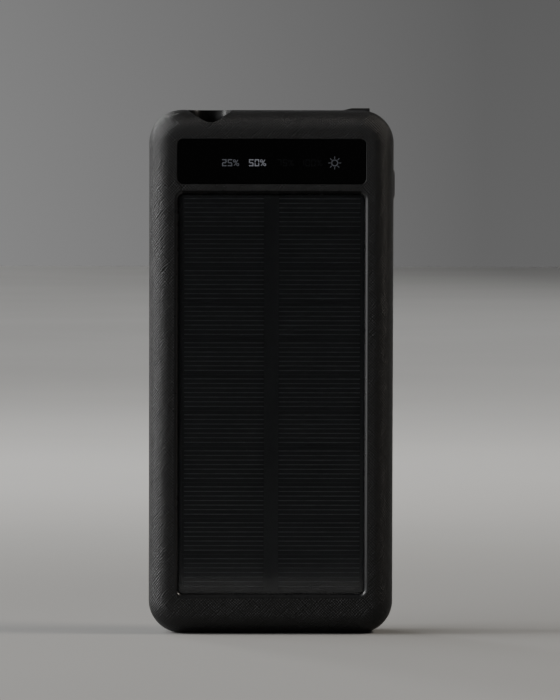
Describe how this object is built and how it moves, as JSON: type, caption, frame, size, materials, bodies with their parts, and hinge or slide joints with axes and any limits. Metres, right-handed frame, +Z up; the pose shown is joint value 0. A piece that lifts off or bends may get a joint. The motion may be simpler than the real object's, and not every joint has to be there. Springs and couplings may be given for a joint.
{
  "type": "solar phone charger",
  "caption": "Pocket battery charger with a solar panel and charge display in its front, a torch and flap-covered sockets in its top and a power button in its side.",
  "frame": {"origin": "middle of the bottom face, on the surface the charger stands on", "axes": "+Z up along the charger's height, -Y the way the solar panel and display face, +X to the right seen from the front"},
  "size_m": [0.0705, 0.02, 0.1506],
  "materials": {
    "casing": "matt, with a fine moulded cross-hatch grain",
    "gasket": "matt",
    "screw_steel": "blackened",
    "window": "polished, smoked",
    "film": "printed black",
    "light_guide": "milky",
    "led_chip": "clear resin",
    "laminate": "clear resin with a fine matt face",
    "cell": "dark silicon",
    "panel_board": "black solder resist",
    "tape": "double-sided foam",
    "pouch_foil": "satin",
    "circuit_board": "green solder resist",
    "socket_steel": "bright nickel plate",
    "socket_plastic": "moulded",
    "ferrite": "sintered",
    "chip": "moulded epoxy",
    "switch_plastic": "moulded",
    "plunger": "moulded",
    "button": "fine matt",
    "torch_chrome": "mirror",
    "torch_clear": "clear",
    "torch_phosphor": "phosphor under resin",
    "flap_rubber": "matt",
    "wire_red": "silicone",
    "wire_black": "silicone",
    "lit_legend": "glowing",
    "unlit_legend": "printed",
    "finger_silver": "fired silver paste",
    "contact_gold": "gold plate"
  },
  "bodies": {
    "casing": {"battery": "pouch_foil", "battery_lead_black": "wire_black", "battery_lead_red": "wire_red", "controller_chip": "chip", "cover_screw_1": "screw_steel", "cover_screw_2": "screw_steel", "cover_screw_3": "screw_steel", "cover_screw_4": "screw_steel", "display_window": "window", "front_cover": "casing", "inductor": "ferrite", "led_100": "led_chip", "led_25": "led_chip", "led_50": "led_chip", "led_75": "led_chip", "led_sun": "led_chip", "legend_film": "film", "light_guide": "light_guide", "main_board": "circuit_board", "panel_lead_black": "wire_black", "panel_lead_red": "wire_red", "panel_tape": "tape", "rear_cover": "casing", "seal_gasket": "gasket", "solar_board": "panel_board", "solar_cell_l01": "cell", "solar_cell_l02": "cell", "solar_cell_l03": "cell", "solar_cell_l04": "cell", "solar_cell_l05": "cell", "solar_cell_l06": "cell", "solar_cell_l07": "cell", "solar_cell_l08": "cell", "solar_cell_l09": "cell", "solar_cell_l10": "cell", "solar_cell_l11": "cell", "solar_cell_r01": "cell", "solar_cell_r02": "cell", "solar_cell_r03": "cell", "solar_cell_r04": "cell", "solar_cell_r05": "cell", "solar_cell_r06": "cell", "solar_cell_r07": "cell", "solar_cell_r08": "cell", "solar_cell_r09": "cell", "solar_cell_r10": "cell", "solar_cell_r11": "cell", "solar_laminate": "laminate", "switch_body": "switch_plastic", "torch_board": "circuit_board", "torch_led": "torch_phosphor", "torch_lens": "torch_clear", "torch_reflector": "torch_chrome", "usb_a_shell": "socket_steel", "usb_a_tongue": "socket_plastic", "usb_c_shell": "socket_steel", "usb_c_tongue": "socket_plastic"},
    "button": {"button_cap": "button", "switch_plunger": "plunger"},
    "flap": {"port_flap": "flap_rubber"}
  },
  "joints": [
    {"name": "power_button", "type": "slide", "parent": "casing", "child": "button", "axis": [-1, 0, 0], "range_m": [0, 0.00035], "stiffness_N_per_m": 4000},
    {"name": "flap_hinge", "type": "hinge", "parent": "casing", "child": "flap", "pos_m": [-0.008, 0, 0.1495], "axis": [0, -1, 0], "range_deg": [0, 110], "stiffness_Nm_per_rad": 0.0015}
  ]
}
